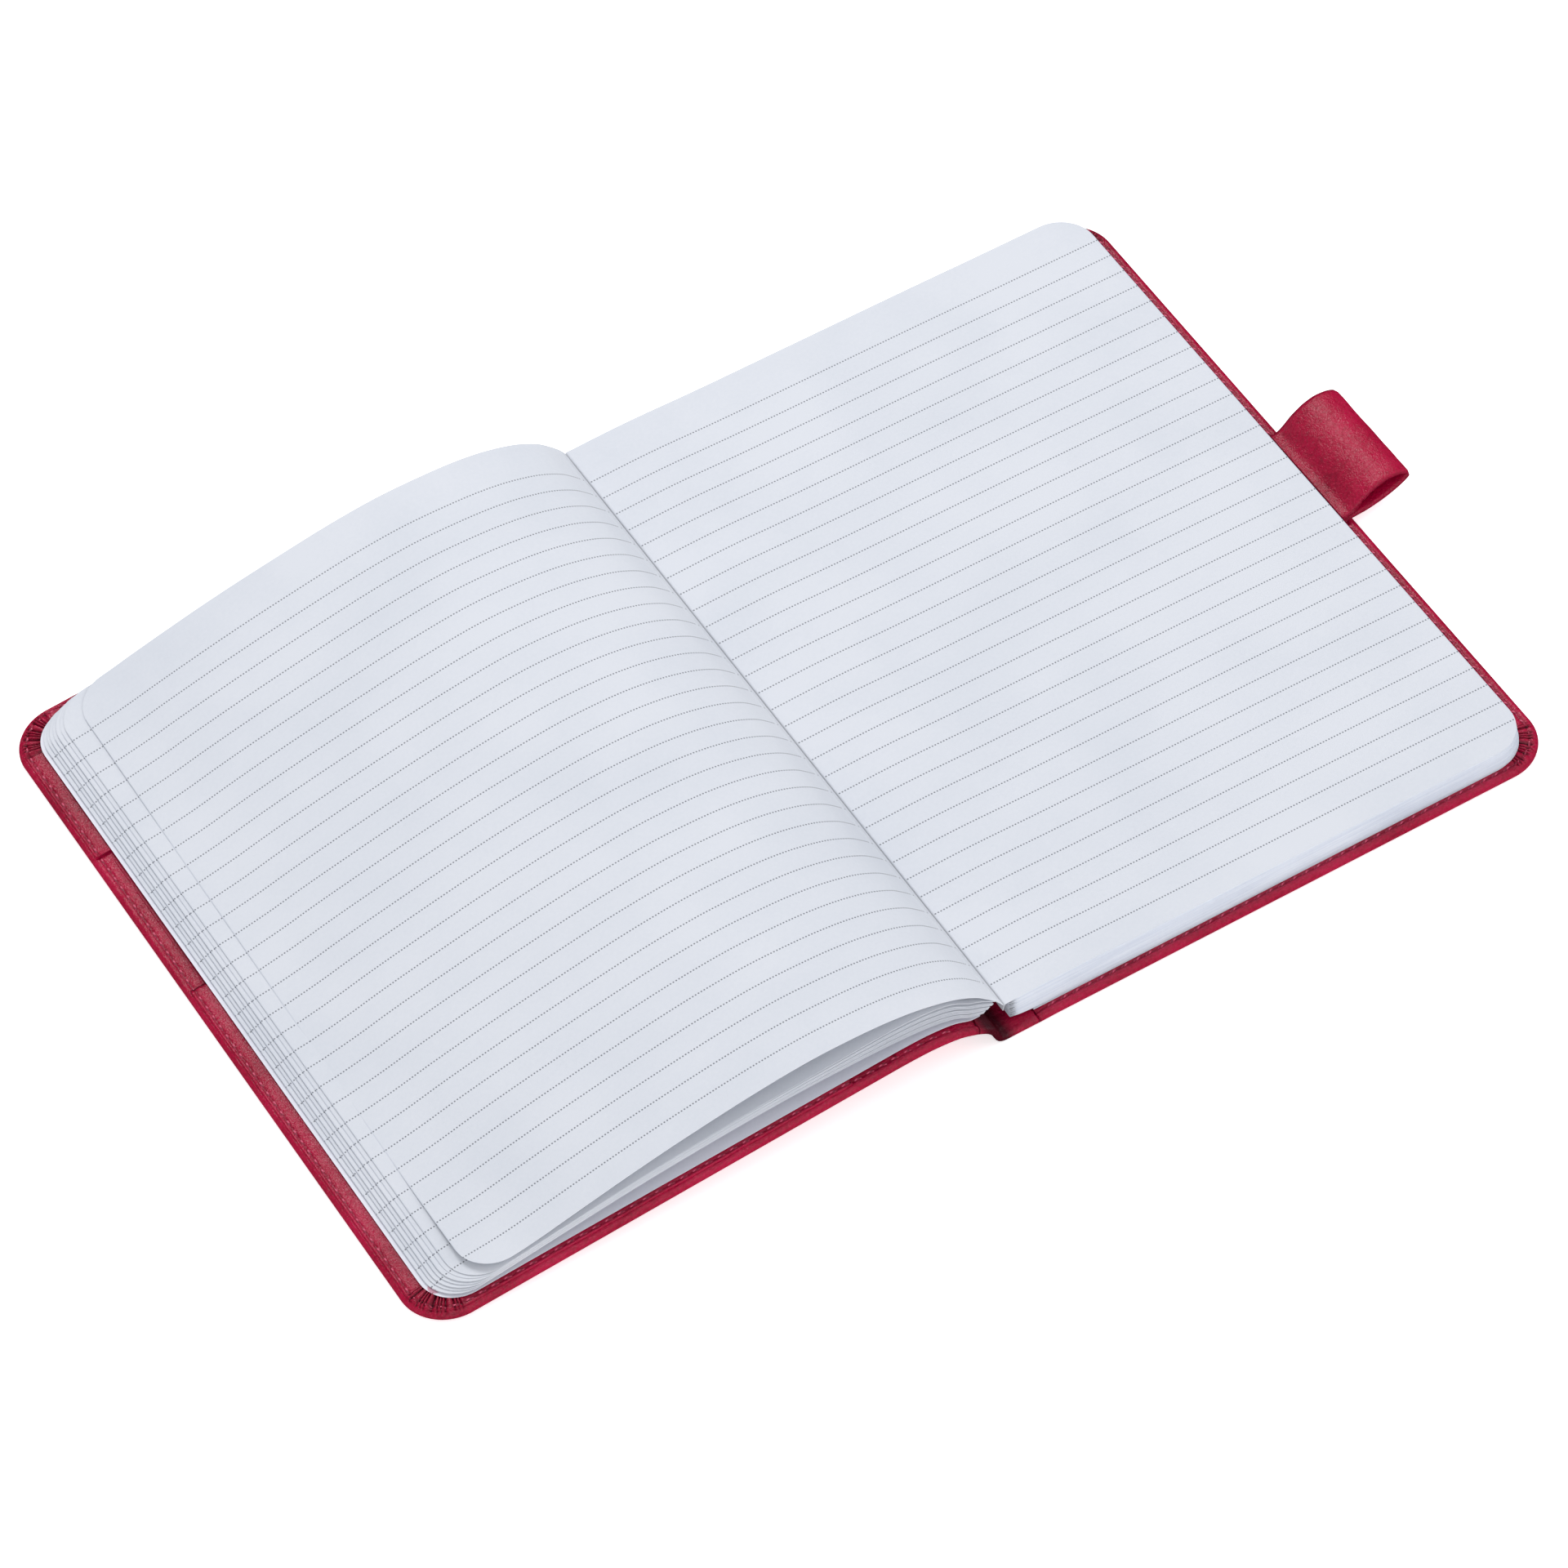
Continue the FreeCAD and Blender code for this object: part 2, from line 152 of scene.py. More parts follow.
def leather(name, body, shade, light, roughness):
    """Dyed and lightly corrected calf leather: a fine closed pebble, soft creases, a satin finish."""
    material, tree, shader = new_material(name)
    place = add(tree, "ShaderNodeTexCoord").outputs["Object"]
    # Real grain is about 0.4 mm across; it is drawn at 0.7 mm so that it shows.
    cells = {"Vector": place, "Scale": 1 / (0.7 * mm)}
    pebble = add(tree, "ShaderNodeTexVoronoi", cells, feature="SMOOTH_F1").outputs["Distance"]
    creases = mottle(tree, place, 7 * mm, 5.0, Distortion=0.6)
    tone = maths(tree, "MULTIPLY_ADD", mottle(tree, place, 22 * mm, 3.0), 0.65, 0.0)
    grain = maths(tree, "MULTIPLY_ADD", pebble, 0.35, tone)
    colour = ramp(tree, grain, [(0.2, light), (0.5, body), (0.85, shade)])
    # Painted shade: points marked in folds are darkened towards near-black crimson.
    fold = add(tree, "ShaderNodeAttribute", attribute_name="painted_fold_shade")
    tree.links.new(mixed(tree, fold.outputs["Fac"], colour, linear("#3A0210")), shader.inputs["Base Color"])
    height = maths(tree, "MULTIPLY_ADD", pebble, -0.5, mottle(tree, place, 0.35 * mm, 2.0))
    fine = relief(tree, height, 0.8, 0.24 * mm)
    tree.links.new(relief(tree, creases, 0.5, 1.1 * mm, Normal=fine), shader.inputs["Normal"])
    rough = add(tree, "ShaderNodeMapRange", {"Value": creases, "To Min": roughness - 0.07,
                                             "To Max": roughness + 0.09})
    tree.links.new(rough.outputs[0], shader.inputs["Roughness"])
    shader.inputs["IOR"].default_value = 1.5
    shader.inputs["Specular IOR Level"].default_value = 0.5
    return material


cover_leather = leather("crimson_calf_leather_dyed", "#A20232", "#6A011D", "#BE0644", 0.29)
inner_leather = leather("crimson_split_leather_lining", "#94022D", "#60011A", "#AA053C", 0.36)


def stand(mesh, material):
    """Stands a mesh in the scene as a smooth piece of one material."""
    mesh.shade_smooth()
    mesh.materials.append(material)
    piece = bpy.data.objects.new(mesh.name, mesh)
    bpy.context.scene.collection.objects.link(piece)
    return piece


def make_piece(name, verts, faces, material, uv):
    """A piece from points in metres; uv gives one pair for each point."""
    mesh = bpy.data.meshes.new(name)
    mesh.from_pydata([tuple(v) for v in verts], [], faces)
    mesh.validate()
    layer = mesh.uv_layers.new(name="sheet")
    for loop in mesh.loops:
        layer.data[loop.index].uv = uv[loop.vertex_index]
    return stand(mesh, material)


def arc_points(centre, radius, start, finish, count):
    steps = [start + (finish - start) * i / count for i in range(count + 1)]
    return [(centre[0] + radius * math.cos(a), centre[1] + radius * math.sin(a), -math.cos(a), -math.sin(a))
            for a in steps]


def cover_outline(spine_x, fore_x, low_y, high_y, radius, step=2.0 * mm, arc_steps=110):
    """Points round a cover and the way inwards from each: square at the spine, round at the fore edge."""
    side = 1 if fore_x > spine_x else -1
    run = abs(fore_x - spine_x) - radius
    count = max(int(run / step), 1)
    xs = [spine_x + side * run * i / count for i in range(count)]
    rise = high_y - low_y - 2 * radius
    rows = max(int(rise / step), 1)
    tail_centre = (fore_x - side * radius, low_y + radius)
    head_centre = (fore_x - side * radius, high_y - radius)
    base = 0.0 if side > 0 else math.pi
    points = [(x, low_y, 0.0, 1.0) for x in xs]
    points += arc_points(tail_centre, radius, -math.pi / 2 if side > 0 else 1.5 * math.pi, base, arc_steps)
    points += [(fore_x, low_y + radius + rise * i / rows, -side, 0.0) for i in range(1, rows)]
    points += arc_points(head_centre, radius, base, math.pi / 2, arc_steps)
    points += [(x, high_y, 0.0, -1.0) for x in reversed(xs)]
    return points


def shell(outline, profile, cut_x=(), cut_y=()):
    """Closed form from rings: each ring is the outline drawn in by an inset, at a height."""
    form = bmesh.new()
    rings = []
    for inset, z in profile:
        rings.append([form.verts.new((x + nx * inset, y + ny * inset, z)) for x, y, nx, ny in outline])
    count = len(outline)
    for lower, upper in zip(rings, rings[1:]):
        for i in range(count):
            j = (i + 1) % count
            form.faces.new((lower[i], lower[j], upper[j], upper[i]))
    form.faces.new(list(reversed(rings[0])))
    form.faces.new(rings[-1])
    cuts = [((x, 0, 0), (1, 0, 0)) for x in cut_x] + [((0, y, 0), (0, 1, 0)) for y in cut_y]
    for point, normal in cuts:
        geometry = form.verts[:] + form.edges[:] + form.faces[:]
        bmesh.ops.bisect_plane(form, geom=geometry, plane_co=point, plane_no=normal, dist=1e-6)
    bmesh.ops.recalc_face_normals(form, faces=form.faces[:])
    return form


def finish_form(form, name, bend, material, crease=None):
    """Bends the flat form into place and makes it a piece; the given function tells how much painted shade
    darkens each point in a fold.
    """
    # Each point stores how much painted shade darkens it.
    depth = form.verts.layers.float.new("painted_fold_shade")
    for v in form.verts:
        v[depth] = crease(v.co) if crease else 0.0
        v.co = bend(v.co)
    mesh = bpy.data.meshes.new(name)
    form.to_mesh(mesh)
    form.free()
    piece = stand(mesh, material)
    even = piece.modifiers.new("even_shading", "WEIGHTED_NORMAL")
    even.keep_sharp = True
    return piece


def hem_place(co, fore_x):
    """Distance in from the cover's edge, the share of the way round a corner (None between), which corner."""
    side = 1 if fore_x > 0 else -1
    across = (co.x - fore_x) * side + corner_radius
    for way, edge_y in ((-1, tail_y), (1, head_y)):
        along = (co.y - edge_y) * way + corner_radius
        if across > 0 and along > 0:
            return corner_radius - math.hypot(across, along), math.atan2(along, across) / (math.pi / 2), way
    return min((fore_x - co.x) * side, co.y - tail_y, head_y - co.y), None, 0


def pleat(co, fore_x):
    """Gathers of the turned-in leather at a round corner: radial folds, as (lift, depth of the valley, which
    also sets the painted shade there).
    """
    inset, turn, way = hem_place(co, fore_x)
    if turn is None or co.z < 1.4 * mm:
        return 0.0, 0.0
    fold = abs(math.sin(math.pi * (turn * pleat_count + 0.35 * math.sin(turn * 23 + way))))
    reach = clamp((inset - 0.6 * mm) / (1.1 * mm)) * clamp((10.8 * mm - inset) / (3 * mm))
    reach *= clamp(min(turn, 1 - turn) * 8)
    return (fold ** 0.55 - 0.62) * 1.2 * mm * reach, (1 - fold) ** 1.2 * reach


def hem_painted_shade(fore_x):
    """Painted shade of a hem: darker in the pleat valleys, in the groove of the stitching, and over the inner
    half, which lies in the shade of the pages.
    """
    def crease(co):
        if co.z < hem_top:
            return 0.0
        inset = hem_place(co, fore_x)[0]
        groove = 0.34 * math.exp(-((inset - stitch_inset) / (0.4 * mm)) ** 2)
        inner = 0.30 * clamp((inset - 3.0 * mm) / (2.5 * mm))
        return min(groove + inner + 0.85 * pleat(co, fore_x)[1], 0.95)
    return crease


def soft(co, size, depth):
    """Slight unevenness of soft leather over its board."""
    return noise.noise(Vector((co.x, co.y, 0)) / size) * depth


edge_profile = [
    (11.15, 2.12), (11.05, 2.2), (11.0, 2.40), (10.8, 2.46), (9.5, 2.42), (8.0, 2.4), (6.5, 2.4), (5.2, 2.42),
    (4.0, 2.45), (3.2, 2.45), (2.8, 2.40), (2.5, 2.28), (2.2, 2.2), (1.95, 2.3), (1.65, 2.52), (1.3, 2.58),
    (0.9, 2.50), (0.5, 2.26), (0.2, 1.9), (0.03, 1.5), (0.0, 1.15), (0.08, 0.75), (0.28, 0.4), (0.62, 0.15),
    (1.1, 0.03), (2.0, 0.0),
]
edge_profile = [(inset * mm, z * mm) for inset, z in edge_profile]
stitch_inset = 2.2 * mm


def spread(low, high, step):
    count = max(int(abs(high - low) / step), 1)
    return [low + (high - low) * i / count for i in range(1, count)]


spine_thickness = 1.9 * mm
spine_share = spine_thickness / cover_thickness


def back_bend(co):
    lift = pleat(co, back_fore_x)[0]
    inset = min(back_fore_x - co.x, co.y - tail_y, head_y - co.y)
    near = clamp((14 * mm - inset) / (6 * mm))
    lift += soft(co, 7 * mm, 0.14 * mm) * near if co.z > 2.2 * mm else 0.0
    # Beside the spine the board ends and the cover thins to the bare leather.
    thin = clamp((co.x - back_low.x) / (5.6 * mm))
    thin = spine_share + (1 - spine_share) * thin * thin * (3 - 2 * thin)
    return Vector((co.x, co.y, max((co.z + lift) * thin, 0.0)))


back_cuts = spread(back_low.x, back_fore_x, 6 * mm) + spread(back_low.x, back_low.x + 6 * mm, mm)
back_form = shell(cover_outline(back_low.x, back_fore_x, tail_y, head_y, corner_radius), edge_profile,
                  back_cuts, spread(tail_y, head_y, 6 * mm))
back_cover = finish_form(back_form, "back_cover_wrap", back_bend, cover_leather,
                         hem_painted_shade(back_fore_x))
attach(back_cover, "root")
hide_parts("back_cover_leather", "back_cover_board")


def curl_normal(points, i):
    a = points[max(i - 1, 0)]
    b = points[min(i + 1, len(points) - 1)]
    length = math.hypot(b[0] - a[0], b[1] - a[1])
    return (b[1] - a[1]) / length, -(b[0] - a[0]) / length


def smooth_line(points, per_span=8):
    """Catmull-Rom line through a few points."""
    ends = [tuple(2 * a - b for a, b in zip(points[0], points[1]))] + list(points)
    ends.append(tuple(2 * a - b for a, b in zip(points[-1], points[-2])))
    line = []
    for i in range(1, len(ends) - 2):
        for k in range(per_span):
            t = k / per_span
            value = []
            for a, b, c, d in zip(ends[i - 1], ends[i], ends[i + 1], ends[i + 2]):
                value.append(0.5 * (2 * b + (c - a) * t + (2 * a - 5 * b + 4 * c - d) * t * t
                                    + (3 * b - a - 3 * c + d) * t ** 3))
            line.append(tuple(value))
    return line + [tuple(points[-1])]


past_shoulder = (shoulder.x - 10 * mm * math.cos(tilt), shoulder.z - 10 * mm * math.sin(tilt))
curl_line = smooth_line(curl + [past_shoulder])[:-8]


def front_place(x, height):
    """Point over the front cover's outer face: x along the table, height square to the leather."""
    if x <= shoulder.x:
        z = shoulder.z + (x - shoulder.x) * math.tan(tilt)
        return x - math.sin(tilt) * height, z + math.cos(tilt) * height
    for i in range(len(curl_line) - 1):
        a, b = curl_line[i], curl_line[i + 1]
        if b[0] <= x <= a[0]:
            t = (a[0] - x) / (a[0] - b[0])
            na, nb = curl_normal(curl_line, i), curl_normal(curl_line, i + 1)
            nx, nz = na[0] + (nb[0] - na[0]) * t, na[1] + (nb[1] - na[1]) * t
            return x + nx * height, a[1] + (b[1] - a[1]) * t + nz * height
    nx, nz = curl_normal(curl_line, 0)
    return curl_line[0][0] + nx * height, curl_line[0][1] + nz * height


def front_bend(co):
    lift = pleat(co, front_fore_x)[0]
    inset = min(co.x - front_fore_x, co.y - tail_y, head_y - co.y)
    near = clamp((14 * mm - inset) / (6 * mm))
    lift += soft(co, 4.5 * mm, 0.24 * mm) * near if co.z > 2.2 * mm else 0.0
    start = clamp((front_start_x - co.x) / (12 * mm))
    x, z = front_place(co.x, (co.z + lift) * (spine_share + (1 - spine_share) * start))
    return Vector((x, co.y, max(z, 0.0)))


front_start_x = curl[0][0]
front_cuts = spread(front_fore_x, shoulder.x, 6 * mm) + spread(shoulder.x, front_start_x, 1.5 * mm)
front_ring = cover_outline(front_start_x, front_fore_x, tail_y, head_y, corner_radius, step=1.5 * mm)
front_form = shell(front_ring, edge_profile, front_cuts, spread(tail_y, head_y, 6 * mm))
front_cover = finish_form(front_form, "front_cover_wrap", front_bend, cover_leather,
                          hem_painted_shade(front_fore_x))
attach(front_cover, "front_cover")
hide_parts("front_cover_leather", "front_cover_board")

# --------
# Stitching: a waxed thread run close to the edge of each cover. Each stitch is
# a short rounded bar of twisted thread that dips into its hole at both ends.
stitch_pitch = 3.4 * mm
stitch_length = 2.5 * mm
thread_width = 0.56 * mm


def twisted_thread(name, body, shade, light):
    """Waxed spun thread: two plies that wind round each other, seen as slanted ribs with a dull shine."""
    material, tree, shader = new_material(name)
    along = add(tree, "ShaderNodeUVMap", uv_map="sheet")
    # The plies of the real thread turn every 0.5 mm; they are drawn every 0.8 mm so that they show.
    winding = {"Vector": along.outputs[0], "Scale": 2 * math.pi / 20 / (0.8 * mm), "Distortion": 0.4}
    plies = add(tree, "ShaderNodeTexWave", winding, wave_type="BANDS", bands_direction="DIAGONAL")
    tone = maths(tree, "MULTIPLY", plies.outputs["Fac"], mottle(tree, along.outputs[0], 0.4 * mm, 3.0))
    tree.links.new(ramp(tree, tone, [(0.05, shade), (0.35, body), (0.8, light)]), shader.inputs["Base Color"])
    tree.links.new(relief(tree, tone, 0.6, 0.1 * mm), shader.inputs["Normal"])
    shader.inputs["Roughness"].default_value = 0.5
    shader.inputs["Sheen Weight"].default_value = 0.2
    return material


hem_thread = twisted_thread("waxed_polyester_thread_rose", "#C42A54", "#8A1236", "#E98AA4")


def stitches(name, places, length, width, slant, thread):
    """Rounded bars laid along (point, direction, normal) places, their ends dipping below the surface."""
    verts, faces, uv = [], [], []
    sections, sides = 9, 8
    for point, along, up in places:
        across = up.cross(along).normalized()
        along = (along + across * slant).normalized()
        across = up.cross(along).normalized()
        start = len(verts)
        for i in range(sections):
            t = i / (sections - 1) * 2 - 1
            fat = math.sqrt(max(1 - abs(t) ** 3.2, 0.0)) * 0.92 + 0.08
            sink = -0.30 * mm * abs(t) ** 4
            for k in range(sides):
                a = 2 * math.pi * k / sides
                offset = across * math.cos(a) * width / 2 * fat
                offset += up * (math.sin(a) * width * 0.42 * fat + sink)
                verts.append(point + along * (t * length / 2) + offset)
                uv.append((t * length / 2, k / sides * width * 3))
        for i in range(sections - 1):
            for k in range(sides):
                a, b = start + i * sides + k, start + i * sides + (k + 1) % sides
                faces.append((a, a + sides, b + sides, b))
        faces.append([start + k for k in range(sides)])
        faces.append([start + (sections - 1) * sides + k for k in reversed(range(sides))])
    return make_piece(name, verts, faces, thread, uv)


def hem_path(spine_x, fore_x):
    """Places of the stitches along three sides, spaced evenly by length."""
    ring = cover_outline(spine_x, fore_x, tail_y, head_y, corner_radius, step=0.5 * mm, arc_steps=48)
    line = [Vector((x + nx * stitch_inset, y + ny * stitch_inset)) for x, y, nx, ny in ring]
    total = sum((b - a).length for a, b in zip(line, line[1:]))
    count = int(total / stitch_pitch)
    pitch = total / count
    places, travelled, want = [], 0.0, pitch / 2
    for a, b in zip(line, line[1:]):
        span = (b - a).length
        while want <= travelled + span and span > 0:
            t = (want - travelled) / span
            places.append((a.lerp(b, t), (b - a).normalized()))
            want += pitch
        travelled += span
    return places


seat = 2.34 * mm
back_places = []
for spot, way in hem_path(back_low.x + 3 * mm, back_fore_x):
    back_places.append((Vector((spot.x, spot.y, seat)), Vector((way.x, way.y, 0)), Vector((0, 0, 1))))
back_stitches = stitches("back_hem_thread", back_places, stitch_length, thread_width, 0.16,
                         hem_thread)
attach(back_stitches, "root")
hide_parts("back_hem_stitching")

upper_low, upper_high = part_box("upper_pocket_panel")
lower_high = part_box("lower_pocket_panel")[1]
pocket_seat = 2.86 * mm
front_places = []
for spot, way in hem_path(front_start_x - 6 * mm, front_fore_x):
    over_pocket = spot.x < upper_high.x and not lower_high.y < spot.y < upper_low.y
    height = pocket_seat if over_pocket else seat
    here = front_place(spot.x, height)
    ahead = front_place(spot.x + way.x * mm, height)
    above = front_place(spot.x, height + mm)
    along = Vector((ahead[0] - here[0], way.y * mm, ahead[1] - here[1])).normalized()
    up = Vector((above[0] - here[0], 0, above[1] - here[1])).normalized()
    front_places.append((Vector((here[0], spot.y, here[1])), along, up))
front_stitches = stitches("front_hem_thread", front_places, stitch_length, thread_width, -0.22,
                          hem_thread)
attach(front_stitches, "front_cover")
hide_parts("front_hem_stitching")

# --------
# Linings and pockets: thin crimson split leather pasted inside the covers, with
# two open-topped pockets sewn into the hem of the front cover.
lining_top = 2.52 * mm
pocket_top = 3.0 * mm


def lining_bend(co):
    rise = soft(co, 11 * mm, 0.22 * mm) + soft(co + Vector((0.3, 0.1, 0)), 5 * mm, 0.22 * mm * 0.35)
    x, z = front_place(co.x, co.z + (rise if co.z > 2.3 * mm else 0.0))
    return Vector((x, co.y, z))


lip = 0.25 * mm
lining_margin = 4.6 * mm
lining_fore_x, lining_spine_x = front_fore_x + lining_margin, front_start_x - 2 * mm
lining_tail_y, lining_head_y = tail_y + lining_margin, head_y - lining_margin
lining_ring = cover_outline(lining_spine_x, lining_fore_x, lining_tail_y, lining_head_y, 9 * mm, arc_steps=12)
lining_profile = [(0, 1.9 * mm), (0, lining_top - lip), (lip * 0.3, lining_top - lip * 0.3),
                  (lip, lining_top), (3 * lip, lining_top)]
lining_form = shell(lining_ring, lining_profile, spread(lining_fore_x, lining_spine_x, 3 * mm),
                    spread(lining_tail_y, lining_head_y, 3 * mm))
front_lining = finish_form(lining_form, "front_lining_skin", lining_bend, inner_leather)
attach(front_lining, "front_cover")
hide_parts("front_cover_lining")


def pocket_form(low_y, high_y):
    """Pocket panel: follows the cover's outline just inside its edge, cut straight across at its mouth."""
    insets = [1.2, 1.2, 1.26, 1.45, 1.75, 1.95, 2.2, 2.45, 2.75, 3.4, 4.4, 5.6, 7.0, 8.5, 10.0, 11.5]
    heights = [2.35, 2.72, 2.92, 3.06, 3.04, 2.84, 2.74, 2.84, 2.98, 3.0, 2.96, 2.95, 2.95, 2.96, 2.98, 3.0]
    ring = cover_outline(pocket_spine_x, front_fore_x, tail_y, head_y, corner_radius)
    form = shell(ring, [(i * mm, z * mm) for i, z in zip(insets, heights)],
                 spread(front_fore_x, pocket_spine_x, 4 * mm), spread(tail_y, head_y, 4 * mm))
    for y, way in ((low_y, -1), (high_y, 1)):
        geometry = form.verts[:] + form.edges[:] + form.faces[:]
        cut = bmesh.ops.bisect_plane(form, geom=geometry, plane_co=(0, y, 0), plane_no=(0, way, 0),
                                     dist=1e-6, clear_outer=True)
        edges = [e for e in cut["geom_cut"] if isinstance(e, bmesh.types.BMEdge)]
        if edges:
            bmesh.ops.edgeloop_fill(form, edges=edges)
    bmesh.ops.recalc_face_normals(form, faces=form.faces[:])
    return form


def pocket_bend(mouth_y):
    def bend(co):
        above = co.z > 2.6 * mm
        lift = pleat(co, front_fore_x)[0] * 0.9 if above else 0.0
        lift += soft(co, 13 * mm, 0.16 * mm) + soft(co, 4.5 * mm, 0.14 * mm) if above else 0.0
        # The mouth edge is folded over, so it stands a little proud.
        near = max(1 - abs(co.y - mouth_y) / (2.2 * mm), 0)
        lift += 0.30 * mm * near * (3 - 2 * near) * near if above else 0.0
        x, z = front_place(co.x, co.z + lift)
        return Vector((x, co.y, max(z, 0.0)))
    return bend


pocket_spine_x = upper_high.x
upper_pocket = finish_form(pocket_form(upper_low.y, head_y), "upper_pocket", pocket_bend(upper_low.y),
                           cover_leather, hem_painted_shade(front_fore_x))
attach(upper_pocket, "front_cover")
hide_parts("upper_pocket_panel")
lower_pocket = finish_form(pocket_form(tail_y, lower_high.y), "lower_pocket", pocket_bend(lower_high.y),
                           cover_leather, hem_painted_shade(front_fore_x))
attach(lower_pocket, "front_cover")
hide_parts("lower_pocket_panel")

# --------
# Spine: the same crimson leather runs on under the block without a board, bends
# up from the table and rolls over into the front cover, lined with thin split.
spine_route = [(8.4, 0), (5.0, 0), (1.6, 0), (-1.4, 0.02), (-3, 0.75), (-3.8, 2.2), (-4.6, 4.1), (-6.2, 5.9)]
spine_route = [(gutter_x + x * mm, z * mm) for x, z in spine_route] + curl[:1]


def tube_form(name, verts, count, merge=0.0):
    """Closed form from rings of count points each, capped at both ends."""
    faces = []
    for start in range(0, len(verts) - count, count):
        for k in range(count):
            a, b = start + k, start + (k + 1) % count
            faces.append((a, b, b + count, a + count))
    faces.append(list(range(count)))
    faces.append([len(verts) - 1 - k for k in range(count)])
    mesh = bpy.data.meshes.new(name + "_rings")
    mesh.from_pydata(verts, [], faces)
    form = bmesh.new()
    form.from_mesh(mesh)
    if merge:
        bmesh.ops.remove_doubles(form, verts=form.verts, dist=merge)
    bmesh.ops.recalc_face_normals(form, faces=form.faces[:])
    return form


def lofted_strip(name, route, thickness, crease=None):
    """Leather band swept along a route of (x, z) points, its two long edges turned in and rounded."""
    half = [(9, 1.0), (6, 1.0), (4, 1.01), (2.8, 1.0), (2.3, 0.93), (1.8, 0.95), (1.2, 0.97), (0.8, 0.93),
            (0.4, 0.84), (0.15, 0.7), (0.0, 0.5), (0.1, 0.28), (0.35, 0.12), (0.8, 0.02), (2.0, 0.0)]
    section = [(tail_y + inset * mm, share) for inset, share in half]
    section += [(head_y - inset * mm, share) for inset, share in reversed(half)]
    section += [(y, 1.0) for y in spread(head_y - 9 * mm, tail_y + 9 * mm, 6 * mm)]
    verts = []
    for i, (x, z) in enumerate(route):
        nx, nz = curl_normal(route, i)
        deep = thickness(i / (len(route) - 1)) if callable(thickness) else thickness
        for y, share in section:
            wave = noise.noise(Vector((x, y, z)) / (7 * mm)) * 0.08 * mm * (1 if share > 0.6 else 0)
            height = deep * share + wave
            verts.append((x + nx * height, y, max(z + nz * height, 0.0)))
    form = tube_form(name, verts, len(section))
    return finish_form(form, name, lambda co: co, cover_leather, crease)


spine_line = smooth_line(spine_route, 6)


def spine_fold_shade(co):
    """Painted shade in the fold beside the block, which never sees light."""
    across = (co.x - gutter_x) / mm
    return 0.9 * clamp((2.5 - across) / 3.0) * clamp((across + 8.6) / 3.0)


spine = lofted_strip("spine_wrap", spine_line, spine_thickness, spine_fold_shade)
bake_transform(spine)
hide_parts("spine_leather", "spine_lining")
shoulder_line = [(x, z) for x, z in curl_line if x >= shoulder.x - 0.01 * mm]


def curl_thickness(share):
    return spine_thickness + (cover_thickness - spine_thickness) * min(share / 0.6, 1)


curl_strip = lofted_strip("spine_shoulder", shoulder_line, curl_thickness)
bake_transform(curl_strip)

# --------
# Book block: eight sewn sections of smooth cold-white paper, each a pile of thin
# leaves folded at the gutter and cut at head, tail and fore edge.
page_radius = 10.0 * mm
gutter_face_x = gutter_x + 2.0 * mm
block_base_z = 2.65 * mm
block_thickness = 7.2 * mm
section_count = 8
leaves_drawn = 7
flat_block = 10 * mm


def paper(name, sheet_colour, shade_colour):
    """Smooth machine-made paper: cold white, matt, with faint cloudy fibres and a slight cockle."""
    material, tree, shader = new_material(name)
    place = add(tree, "ShaderNodeTexCoord").outputs["Object"]
    clouds = mottle(tree, place, 30 * mm, 4.0)
    fibres = mottle(tree, place, 0.9 * mm, 3.0)
    cloudy = maths(tree, "MULTIPLY_ADD", clouds, 0.7, maths(tree, "MULTIPLY_ADD", fibres, 0.3, 0.0))
    colour = ramp(tree, cloudy, [(0.3, shade_colour), (0.6, sheet_colour)])
    tooth = relief(tree, fibres, 0.12, 0.05 * mm)
    tree.links.new(relief(tree, clouds, 0.25, 0.8 * mm, Normal=tooth), shader.inputs["Normal"])
    shader.inputs["Roughness"].default_value = 0.62
    shader.inputs["IOR"].default_value = 1.45
    shader.inputs["Specular IOR Level"].default_value = 0.3
    return material, tree, shader, colour


def edge_paper():
    """Cut edges of the pile: fine parallel lines where the leaves lie on each other, a little greyer."""
    material, tree, shader, colour = paper("cut_edges_of_book_paper", "#DCE0E8", "#D2D7E1")
    place = add(tree, "ShaderNodeTexCoord").outputs["Object"]
    # Leaves are 0.12 mm thick; the lines are drawn every 0.45 mm so that they show.
    squeeze = add(tree, "ShaderNodeMapping", {"Vector": place, "Scale": (0.02, 0.02, 1.0)})
    lines = mottle(tree, squeeze.outputs[0], 0.45 * mm, 2.0)
    grey = ramp(tree, lines, [(0.35, "#D6DBE6"), (0.62, "#FFFFFF")])
    tree.links.new(mixed(tree, 0.35, colour, grey, blend_type="MULTIPLY"), shader.inputs["Base Color"])
    return material


section_paper = edge_paper()


def block_height(x, share):
    """Height at a share of the block's thickness: lifted at the gutter, swollen, thin at the fore edge."""
    across = (x - gutter_face_x) / mm
    lift = 1.3 * (1 - share) * math.exp(-across / 5.0)
    swell = 0.6 * share * math.exp(-((across - 16.0) / 16.0) ** 2)
    taper = 1.0 * share * (max(across, 0.0) * mm / (page_width - 2.0 * mm)) ** 3
    return block_base_z + block_thickness * share + (lift + swell - taper) * mm


def uneven(i):
    """Repeatable small number from -1 to 1 for leaf i."""
    return math.sin(i * 12.9898) * 0.6 + math.sin(i * 4.1414 + 1.7) * 0.4


def section_bend(index):
    def bend(co):
        share = co.z / flat_block
        within = clamp(share * section_count - index)
        near = max(1 - (co.x - gutter_face_x) / (1.6 * mm), 0)
        x = co.x + near * (0.75 - 1.1 * math.sqrt(max(within * (1 - within), 0)) * 2) * 0.5 * mm
        return Vector((x, co.y, block_height(co.x, share)))
    return bend


def settle(piece):
    """Gives the piece its own copy of its mesh."""
    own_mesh(piece)


